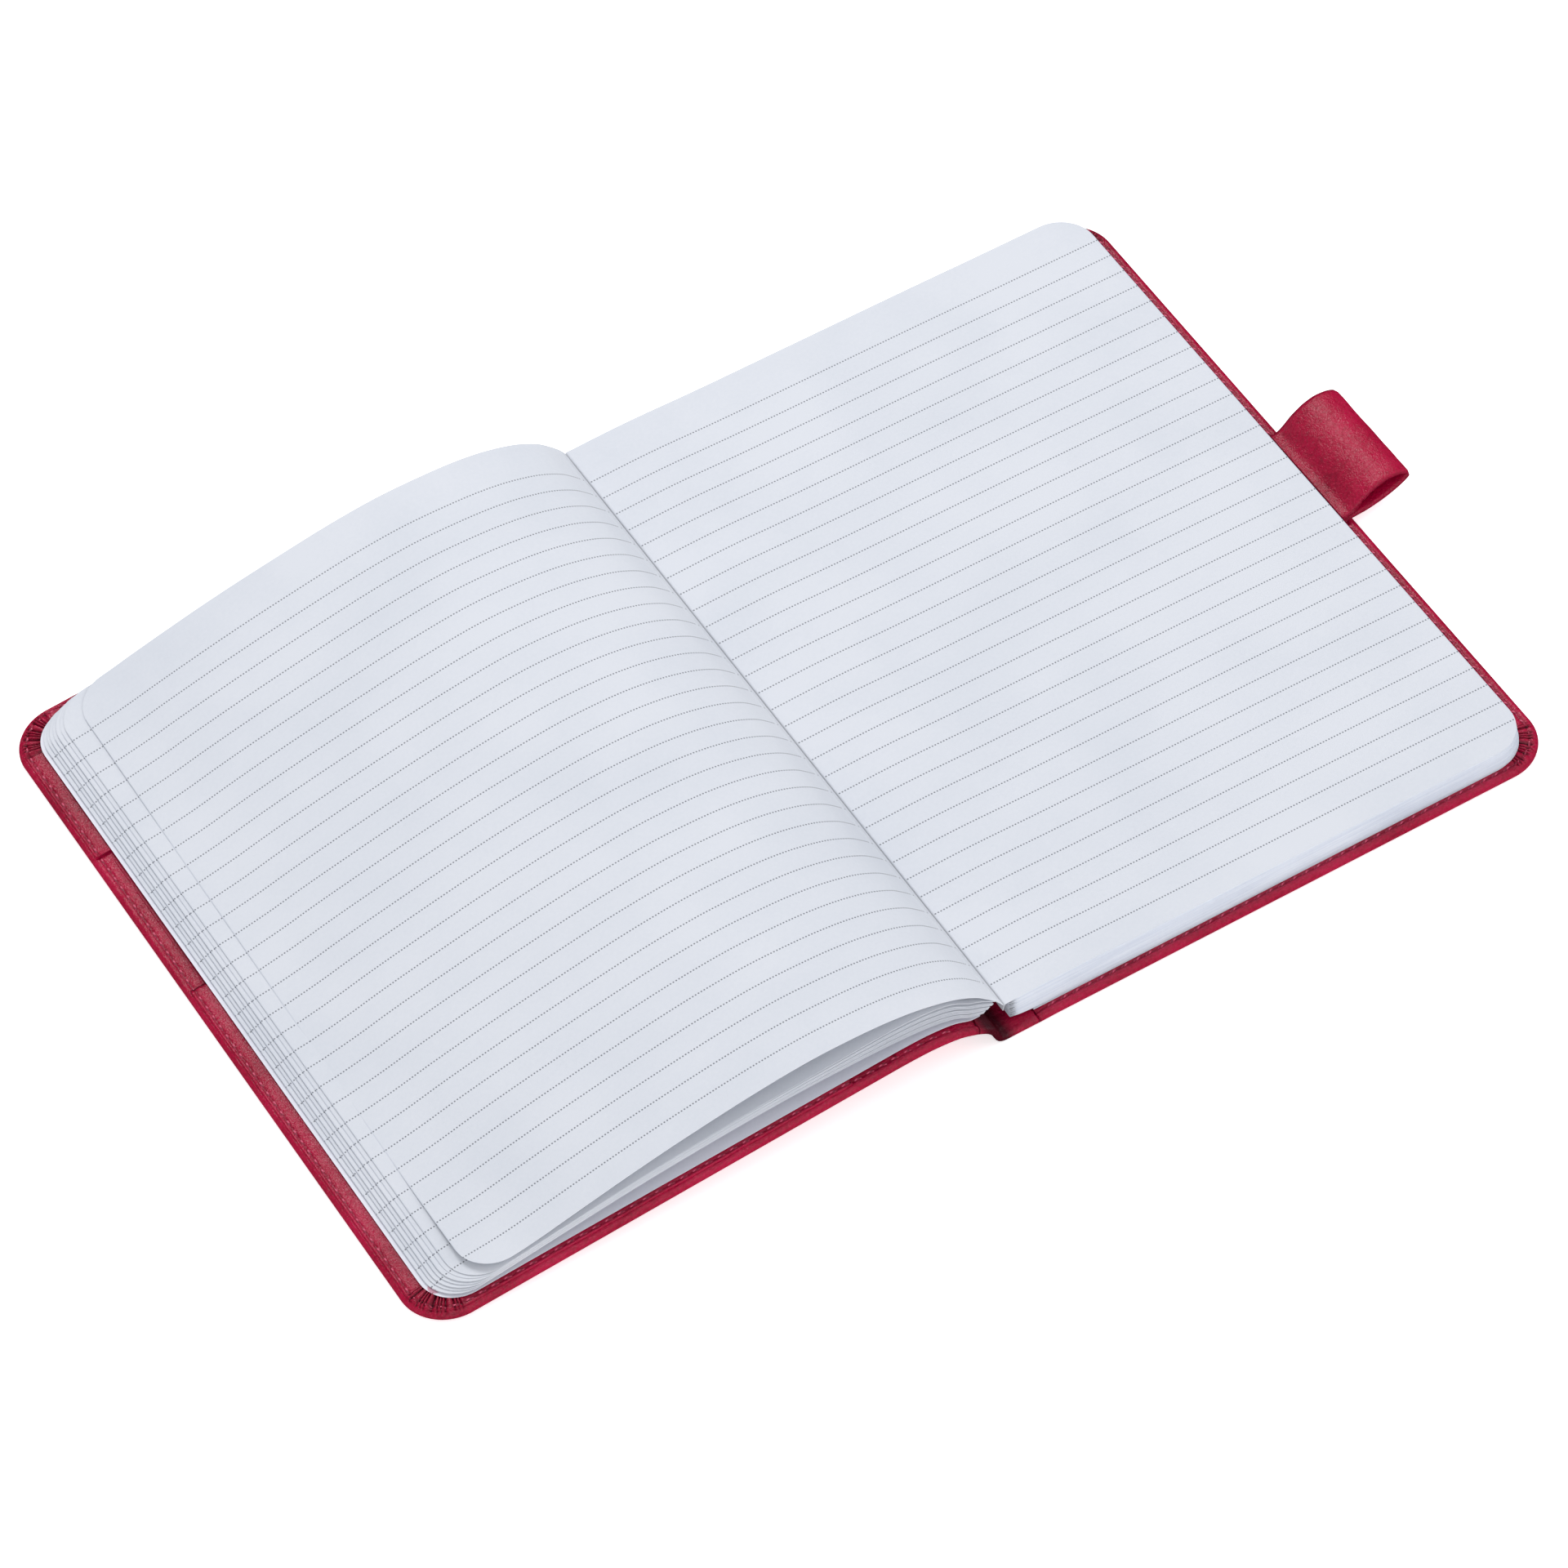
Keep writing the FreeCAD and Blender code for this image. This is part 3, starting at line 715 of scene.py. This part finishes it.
for index in range(section_count):
    profile = []
    for k in range(leaves_drawn):
        low = (index + (k + 0.04) / leaves_drawn) / section_count
        high = (index + (k + 0.96) / leaves_drawn) / section_count
        number = index * leaves_drawn + k
        jut = (0.10 + 0.08 * uneven(number)) * mm
        rounded = jut + 0.05 * mm
        profile += [(rounded, low * flat_block), (jut, (low * 0.8 + high * 0.2) * flat_block),
                    (jut, (low * 0.2 + high * 0.8) * flat_block), (rounded, high * flat_block)]
    fore_x = gutter_x + page_width + 1.0 * mm * (1 - (index + 0.5) / section_count)
    ring = cover_outline(gutter_face_x, fore_x, page_tail_y, page_head_y, page_radius, 3 * mm, arc_steps=20)
    form = shell(ring, profile, spread(gutter_face_x, fore_x, 5 * mm))
    name = "right_section_%d" % (index + 1)
    section = finish_form(form, name + "_leaves", section_bend(index), section_paper)
    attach(section, "root")
    settle(section)
    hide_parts(name)

# --------
# Ruled leaves: single sheets of the same paper, printed with dotted grey rules
# 6.35 mm apart. One lies on the block; the rest are turned over to the left.
rule_pitch = 6.35
first_rule = 6.8
rule_count = 31


def ruled_paper():
    """The paper with its printed rules: rows of grey dots, the ink slightly uneven."""
    material, tree, shader, colour = paper("book_paper_dotted_rules", "#D2D5DC", "#CBCFD7")
    split = add(tree, "ShaderNodeSeparateXYZ", {0: add(tree, "ShaderNodeUVMap", uv_map="sheet").outputs[0]})
    # Dots of the real rules are 0.56 mm apart; they are drawn 0.8 mm apart so that they show.
    dot_pitch = 0.8

    def cell(value, pitch, start):
        moved = maths(tree, "MULTIPLY_ADD", value, 1 / (pitch * mm), 0.5 - start / pitch)
        centred = maths(tree, "MULTIPLY_ADD", maths(tree, "FRACT", moved), pitch, -pitch / 2)
        return maths(tree, "MULTIPLY", centred, centred)

    across = cell(split.outputs[0], dot_pitch, 0.0)
    up = cell(split.outputs[1], rule_pitch, first_rule)
    strength = add(tree, "ShaderNodeMapRange", {"Value": maths(tree, "ADD", across, up), "From Min": 0.02,
                                                "From Max": 0.07, "To Min": 1.0, "To Max": 0.0}).outputs[0]
    margin = 3
    above = maths(tree, "GREATER_THAN", split.outputs[1], (first_rule - margin) * mm)
    last = (first_rule + (rule_count - 1) * rule_pitch + margin) * mm
    below = maths(tree, "LESS_THAN", split.outputs[1], last)
    clear = maths(tree, "GREATER_THAN", split.outputs[0], 2.0 * mm)
    for limit in (above, below, clear):
        strength = maths(tree, "MULTIPLY", strength, limit)
    printed = mixed(tree, maths(tree, "MULTIPLY", strength, 0.8), colour, linear("#4A4E58"))
    # Painted shadow: a thin grey line along each leaf's fore edge.
    cut = add(tree, "ShaderNodeAttribute", attribute_name="painted_edge_shadow")
    tree.links.new(mixed(tree, cut.outputs["Fac"], printed, linear("#A3AABA")), shader.inputs["Base Color"])
    return material


leaf_paper = ruled_paper()


def printed_flyleaf():
    """Plain first leaf with a row of dull rose dots printed along its foot, a paler one beside each."""
    material, tree, shader, colour = paper("flyleaf_paper_printed_dots", "#DFE0E9", "#D6D8E2")
    split = add(tree, "ShaderNodeSeparateXYZ", {0: add(tree, "ShaderNodeUVMap", uv_map="sheet").outputs[0]})
    dot_pitch, dot_row = 10.8 * mm, 6.6 * mm
    marks = colour
    for middle, size, tint in ((0.5, 1.7 * mm, "#C08A9C"), (0.82, 1.1 * mm, "#D3B4C0")):
        share = maths(tree, "FRACT", maths(tree, "MULTIPLY", split.outputs[0], 1 / dot_pitch))
        x = maths(tree, "MULTIPLY_ADD", share, dot_pitch, -middle * dot_pitch)
        y = maths(tree, "SUBTRACT", split.outputs[1], dot_row)
        spot = add(tree, "ShaderNodeCombineXYZ", {0: x, 1: y})
        away = add(tree, "ShaderNodeVectorMath", {0: spot.outputs[0]}, operation="LENGTH")
        blur = 0.15 * mm
        inside = add(tree, "ShaderNodeMapRange", {"Value": away.outputs["Value"], "From Min": size - blur,
                                                  "From Max": size + blur, "To Min": 0.9, "To Max": 0.0})
        marks = mixed(tree, inside.outputs[0], marks, linear(tint))
    tree.links.new(marks, shader.inputs["Base Color"])
    return material


flyleaf_paper = printed_flyleaf()


def leaf(name, line, thickness, material, wave=0.12 * mm, rows=34, shape=None):
    """One sheet along a line of (x, z) points from its fold to its fore edge, with two round corners."""
    lengths = [0.0]
    for a, b in zip(line, line[1:]):
        lengths.append(lengths[-1] + math.hypot(b[0] - a[0], b[1] - a[1]))
    total = lengths[-1]
    way = 1 if line[-1][0] > line[0][0] else -1
    verts, uv = [], []
    for face in (1, 0):
        for i, (x, z) in enumerate(line):
            nx, nz = curl_normal(line, i)
            nx, nz = -way * nx, -way * nz
            left = min(total - lengths[i], page_radius)
            inset = page_radius - math.sqrt(page_radius ** 2 - (page_radius - left) ** 2)
            low, high = page_tail_y + inset, page_head_y - inset
            for k in range(rows + 1):
                y = low + (high - low) * k / rows
                ripple = noise.noise(Vector((x, y * 0.7, thickness * 900)) / (38 * mm)) * wave
                ripple *= min(lengths[i] / (20 * mm), 1.0)
                up = (y - page_tail_y) / (page_head_y - page_tail_y)
                slide, rise = shape(lengths[i] / total, up) if shape else (0.0, 0.0)
                deep = thickness * face
                verts.append((x + slide + nx * deep, y, z + nz * deep + ripple + rise))
                uv.append((lengths[i], y - page_tail_y))
    columns = len(line)
    size = columns * (rows + 1)
    faces = []
    for i in range(columns - 1):
        for k in range(rows):
            a = i * (rows + 1) + k
            b = a + rows + 1
            faces.append((a, b, b + 1, a + 1) if way > 0 else (a, a + 1, b + 1, b))
            faces.append((size + a, size + a + 1, size + b + 1, size + b) if way > 0
                         else (size + a, size + b, size + b + 1, size + a + 1))
    rim = [i * (rows + 1) for i in range(columns)]
    rim += [(columns - 1) * (rows + 1) + k for k in range(1, rows + 1)]
    rim += [i * (rows + 1) + rows for i in reversed(range(columns - 1))]
    rim += [k for k in reversed(range(1, rows))]
    for a, b in zip(rim, rim[1:] + rim[:1]):
        faces.append((a, size + a, size + b, b) if way > 0 else (a, b, size + b, size + a))
    piece = make_piece(name, verts, faces, material, uv)
    # A thin grey line of painted shadow along the fore edge stands in for the shadow at the edge of each
    # stepped leaf.
    cut = piece.data.attributes.new("painted_edge_shadow", "FLOAT", "POINT")
    for vertex, (length, y) in zip(cut.data, uv):
        vertex.value = 0.45 * clamp(1 - (total - length) / (0.3 * mm))
    cleaner = bmesh.new()
    cleaner.from_mesh(piece.data)
    bmesh.ops.remove_doubles(cleaner, verts=cleaner.verts, dist=1e-7)
    bmesh.ops.recalc_face_normals(cleaner, faces=cleaner.faces)
    cleaner.to_mesh(piece.data)
    cleaner.free()
    sharp = piece.modifiers.new("crisp_edges", "EDGE_SPLIT")
    sharp.split_angle = math.radians(50)
    return piece


leaf_thickness = 0.12 * mm
steps = [0.12, 0.3, 0.5, 0.75, 1.0, 1.3, 1.8, 2.5, 3.3, 4.2, 5.2, 6.5, 8, 10, 12.5, 15, 18, 22, 26, 31, 37]
steps += [43 + 6 * i for i in range(16)] + [137 + 1.5 * i for i in range(2)]
# Columns stand closer towards the fore edge, where the corners are round.
edge_gaps = (10, 8.5, 7, 5.6, 4.4, 3.4, 2.5, 1.8, 1.2, 0.7, 0.35, 0.12, 0.0)
fore_steps = [page_width / mm - gap for gap in edge_gaps]
page_line = []
for across in steps + fore_steps:
    x = gutter_x + across * mm
    dip = 2.4 * mm * math.exp(-((across + 0.1) / 0.5) ** 2)
    page_line.append((x, block_height(max(x, gutter_face_x), 1.0) + 0.03 * mm - dip))


def head_corner_lift(along, up):
    near = clamp((along - 0.80) / 0.20) * clamp((up - 0.60) / 0.40)
    return 0.0, 0.3 * mm * near


top_page = leaf("right_page", page_line, leaf_thickness, leaf_paper, shape=head_corner_lift)
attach(top_page, "root")
settle(top_page)
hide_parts("right_top_leaf")

# share of the way to the fore edge, share of the fan's height, share of the bow of the whole turned pile
pile_shape = smooth_line([(0.0, 0.10, 0.0), (-0.03, 0.60, 0.15), (-0.055, 0.85, 0.23), (-0.10, 1.00, 0.37),
                          (-0.16, 0.92, 0.56), (-0.22, 0.75, 0.74), (-0.30, 0.52, 0.91), (-0.38, 0.40, 0.99),
                          (-0.50, 0.30, 0.97), (-0.65, 0.24, 0.79), (-0.80, 0.19, 0.44), (-0.90, 0.14, 0.19),
                          (-1.00, 0.10, 0.0)], 6)
fan_shape = [(x, fan) for x, fan, bow in pile_shape]
bow_shape = [(x, bow) for x, fan, bow in pile_shape]


def height_on(line, x):
    """Height of a line that runs to the left at a place x."""
    for (x0, z0), (x1, z1) in zip(line, line[1:]):
        if x1 <= x <= x0:
            return z0 + (z1 - z0) * (x0 - x) / (x0 - x1)
    return line[-1][1]


def left_line(base, fan, bow, fore, root, opened):
    """A turned leaf's line over the front cover: fanned up near its fold, bowed, opened at its fore edge."""
    shares = [i / 400 for i in range(0, 40, 3)] + [0.1 + 0.8 * i / 44 for i in range(45)]
    shares += [1 - gap / (fore + root) for gap in (12,) + edge_gaps]
    line = []
    for share in sorted(set(shares)):
        x = gutter_x + (root - (fore + root) * share) * mm
        height = 0.3 + base + opened * share
        height += fan * height_on(fan_shape, -share) + bow * height_on(bow_shape, -share)
        line.append((x, front_place(x, pocket_top)[1] + height * mm))
    return line


def top_leaf_shape(along, up):
    """Its tail corner curls up a little, and its fore edge runs in towards the head."""
    curl_share = clamp((along - 0.86) / 0.14) * clamp((0.22 - up) / 0.22)
    skew = 2.5 * mm * up * clamp((along - 0.80) / 0.20)
    return skew, 2.2 * mm * curl_share ** 1.6 + 0.2 * skew


# name, level in the fan, leaves, fore edge left of the gutter, root, spread of the fore edges
left_groups = [
    ("front_flyleaf", 0.00, 1, 153.6, -6.2, 0.0),
    ("left_section_1", 0.15, 4, 152.6, -5.2, 0.9),
    ("left_section_2", 0.40, 4, 150.8, -4.0, 0.9),
    ("left_section_3", 0.70, 3, 148.9, -2.8, 1.1),
    ("left_second_leaf", 1.00, 1, 146.6, -1.5, 0.0),
    ("left_top_leaf", 0.00, 1, 143.5, 0.2, 0.0),
]
top_leaf_route = [(0.2, 10.1), (-1.3, 12.3), (-4, 15.3), (-7.5, 18.4), (-13.5, 21.7), (-21.9, 24.4),
                  (-30.4, 25.9), (-39, 26.5), (-50, 26.5), (-61, 25.5), (-74, 23.6), (-90, 20.6),
                  (-103, 17.7), (-114, 15.0), (-124.0, 12.4), (-133.0, 9.9), (-143.5, 7.6)]
top_leaf_line = smooth_line([(gutter_x + x * mm, z * mm) for x, z in top_leaf_route], 6)
fan_height = 4.2
bow_height = 5.2
base = 0.0
number = 0
for group, level, count, fore, root, spreading in left_groups:
    top = group == "left_top_leaf"
    for k in range(count):
        name = group + "_sheet" if count == 1 else "%s_leaf_%d" % (group, k + 1)
        number += 1 if k % 2 == 0 else 0
        line = left_line(base + k * 0.13, fan_height * level + k * 0.22, bow_height if level else 0.0,
                         fore - k // 2 * spreading - k * 0.06, root + k * 0.2, number * 0.09)
        if top:
            line = [point for point in top_leaf_line if point[0] > gutter_x - (fore - 11) * mm]
            for gap in edge_gaps:
                x = gutter_x - (fore - gap) * mm
                line.append((x, height_on(top_leaf_line, x)))
        fly = group == "front_flyleaf"
        sheet = leaf(name, line, leaf_thickness, flyleaf_paper if fly else leaf_paper,
                     wave=0.5 * mm if top else 0.2 * mm, shape=top_leaf_shape if top else None)
        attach(sheet, group + "_body")
        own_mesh(sheet)
        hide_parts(group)
    base += 0.12 * count + 0.08

# --------
# Inside the fold: the sections are sewn through their folds with linen thread and
# held by a strip of open cloth glued down their backs, on a pasted endpaper.


def woven_cloth(name, body, shade, spacing):
    """Starched open cotton weave: crossed threads with small dark holes, quite matt."""
    material, tree, shader = new_material(name)
    place = add(tree, "ShaderNodeTexCoord").outputs["Object"]
    threads = [add(tree, "ShaderNodeTexWave", {"Vector": place, "Scale": 2 * math.pi / 20 / spacing},
                   bands_direction=way) for way in ("Y", "Z")]
    both = maths(tree, "MAXIMUM", threads[0].outputs["Fac"], threads[1].outputs["Fac"])
    tree.links.new(ramp(tree, both, [(0.2, shade), (0.7, body)]), shader.inputs["Base Color"])
    tree.links.new(relief(tree, both, 0.5, 0.15 * mm), shader.inputs["Normal"])
    shader.inputs["Roughness"].default_value = 0.85
    return material


# Mull threads are 0.6 mm apart; they are drawn 1 mm apart so that they show.
mull_cloth = woven_cloth("starched_cotton_mull", "#D8D4CC", "#8F8A84", 1.0 * mm)
linen_thread = twisted_thread("waxed_linen_thread", "#DAD6CE", "#A8A39B", "#F4F2EE")
plain_paper, paper_tree, paper_shader, paper_colour = paper("pasted_endpaper", "#DEE3EA", "#D6DCE5")
paper_tree.links.new(paper_colour, paper_shader.inputs["Base Color"])
for node, material in (("back_endpaper", plain_paper), ("back_cover_lining", inner_leather)):
    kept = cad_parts[node]
    kept.data.materials.clear()
    kept.data.materials.append(material)

mull_low, mull_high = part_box("spine_mull")
mull_form = bmesh.new()
bmesh.ops.create_grid(mull_form, x_segments=90, y_segments=6, size=0.5)
for v in mull_form.verts:
    y = mull_low.y + (mull_high.y - mull_low.y) * (v.co.x + 0.5)
    z = mull_low.z + (mull_high.z - mull_low.z) * (v.co.y + 0.5)
    v.co = Vector((mull_high.x + noise.noise(Vector((0, y, z)) / (4 * mm)) * 0.05 * mm, y, z))
outer = bmesh.ops.extrude_face_region(mull_form, geom=mull_form.faces[:])["geom"]
for part in outer:
    if isinstance(part, bmesh.types.BMVert):
        part.co.x += mull_low.x - mull_high.x
bmesh.ops.recalc_face_normals(mull_form, faces=mull_form.faces[:])
mull = finish_form(mull_form, "mull_strip", lambda co: co, mull_cloth)
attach(mull, "root")
settle(mull)
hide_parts("spine_mull")

thread_low, thread_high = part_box("sewing_thread")
stitch_places = []
long_stitch = 16 * mm
reach = (thread_high.y - thread_low.y - long_stitch) / 5
for i in range(6):
    middle = Vector(((thread_low.x + thread_high.x) / 2, thread_low.y + long_stitch / 2 + reach * i,
                     thread_high.z - 0.2 * mm))
    stitch_places.append((middle, Vector((0, 1, 0)), Vector((0, 0, 1))))
binding = stitches("section_sewing", stitch_places, long_stitch, 0.45 * mm, 0.0,
                   linen_thread)
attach(binding, "root")
settle(binding)
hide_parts("sewing_thread")

# --------
# Pen loop: one strip of the crimson leather, folded over itself, its two ends
# sewn down together inside the back cover's fore edge.
loop_low, loop_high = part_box("pen_loop")
root_x = back_high.x
loop_middle_y = (loop_low.y + loop_high.y) / 2
tip_x = loop_high.x
loop_route = [(root_x - 3.0 * mm, 3.0 * mm), (root_x + 0.5 * mm, 3.1 * mm), (root_x + 5.5 * mm, 3.6 * mm),
              (root_x + 10.5 * mm, 4.9 * mm), (tip_x - 2.8 * mm, 6.7 * mm), (tip_x - 0.9 * mm, 8.0 * mm),
              (tip_x - 0.5 * mm, 8.9 * mm), (tip_x - 1.4 * mm, 9.9 * mm), (tip_x - 3.6 * mm, 10.7 * mm),
              (root_x + 10.2 * mm, 10.9 * mm), (root_x + 6.6 * mm, 9.7 * mm), (root_x + 3.4 * mm, 7.6 * mm),
              (root_x + 0.8 * mm, 5.2 * mm), (root_x - 0.8 * mm, 4.2 * mm), (root_x - 2.8 * mm, 3.95 * mm)]
loop_line = smooth_line(loop_route, 5)
verts = []
strip_half = 0.42 * mm
rows = 30
for i, (x, z) in enumerate(loop_line):
    nx, nz = curl_normal(loop_line, i)
    for side in (1, -1):
        for k in range(rows + 1):
            t = (k / rows * 2 - 1) * side
            y = loop_middle_y + t * (loop_high.y - loop_low.y) / 2
            wrinkle = noise.noise(Vector((x * 2.2, y, z * 2.2 + 0.01)) / (6 * mm)) * 0.12 * mm
            thick = side * strip_half * math.sqrt(max(1 - abs(t) ** 24, 0.0)) + wrinkle
            verts.append((x + nx * thick, y, z + nz * thick))
loop_form = tube_form("loop", verts, 2 * (rows + 1), merge=1e-6)
pen_loop = finish_form(loop_form, "pen_loop_strip", lambda co: co, cover_leather)
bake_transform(pen_loop)
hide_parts("pen_loop", "pen_loop_sewn_end")

# --------
# Studio: white sweep, broad soft light, and a camera looking down at the spread.
floor_mesh = bpy.data.meshes.new("studio_floor")
floor_mesh.from_pydata([(-3, -3, 0), (3, -3, 0), (3, 3, 0), (-3, 3, 0)], [], [(0, 1, 2, 3)])
floor = bpy.data.objects.new("studio_floor", floor_mesh)
bpy.context.scene.collection.objects.link(floor)
floor_material, _, floor_shader = new_material("white_paper_sweep")
floor_shader.inputs["Base Color"].default_value = (0.98, 0.98, 0.98, 1)
floor_shader.inputs["Roughness"].default_value = 0.9
floor_shader.inputs["Emission Color"].default_value = (1.0, 1.0, 1.0, 1)
floor_shader.inputs["Emission Strength"].default_value = 0.55
floor_mesh.materials.append(floor_material)
floor.visible_glossy = False

world = bpy.data.worlds.new("studio_room")
bpy.context.scene.world = world
world.use_nodes = True
world.node_tree.nodes["Background"].inputs["Color"].default_value = (0.97, 0.98, 1.0, 1)
world.node_tree.nodes["Background"].inputs["Strength"].default_value = 0.68
world.cycles_visibility.glossy = False


def softbox(name, place, size, power):
    lamp = bpy.data.lights.new(name, "AREA")
    lamp.shape = "DISK"
    lamp.size = size
    lamp.energy = power
    light = bpy.data.objects.new(name, lamp)
    bpy.context.scene.collection.objects.link(light)
    light.location = place
    light.rotation_euler = (-Vector(place)).to_track_quat("-Z", "Y").to_euler()


softbox("overhead_softbox", (0.1, 1.0, 1.45), 0.8, 14)
softbox("front_softbox", (-0.5, -1.3, 0.9), 1.0, 5)
softbox("fill_softbox", (0.9, -0.6, 1.2), 1.2, 3)

camera_data = bpy.data.cameras.new("studio_camera")
camera = bpy.data.objects.new("studio_camera", camera_data)
bpy.context.scene.collection.objects.link(camera)
bpy.context.scene.camera = camera
heading = math.radians(26.67)
elevation = math.radians(50.69)
roll = math.radians(-5.33)
forward = Vector((math.cos(elevation) * math.sin(heading), math.cos(elevation) * math.cos(heading),
                  -math.sin(elevation)))
level_right = Vector((math.cos(heading), -math.sin(heading), 0))
level_up = level_right.cross(forward)
right = level_right * math.cos(roll) + level_up * math.sin(roll)
up = right.cross(forward)
target = Vector((-0.0875, -0.012, 0.001))
distance = 1.911
camera.matrix_world = Matrix.Translation(target - forward * distance) @ Matrix(
    (right, up, -forward)).transposed().to_4x4()
camera_data.sensor_width = 36
camera_data.lens = 179.9
camera_data.clip_end = 20

bpy.context.scene.view_settings.view_transform = "Standard"
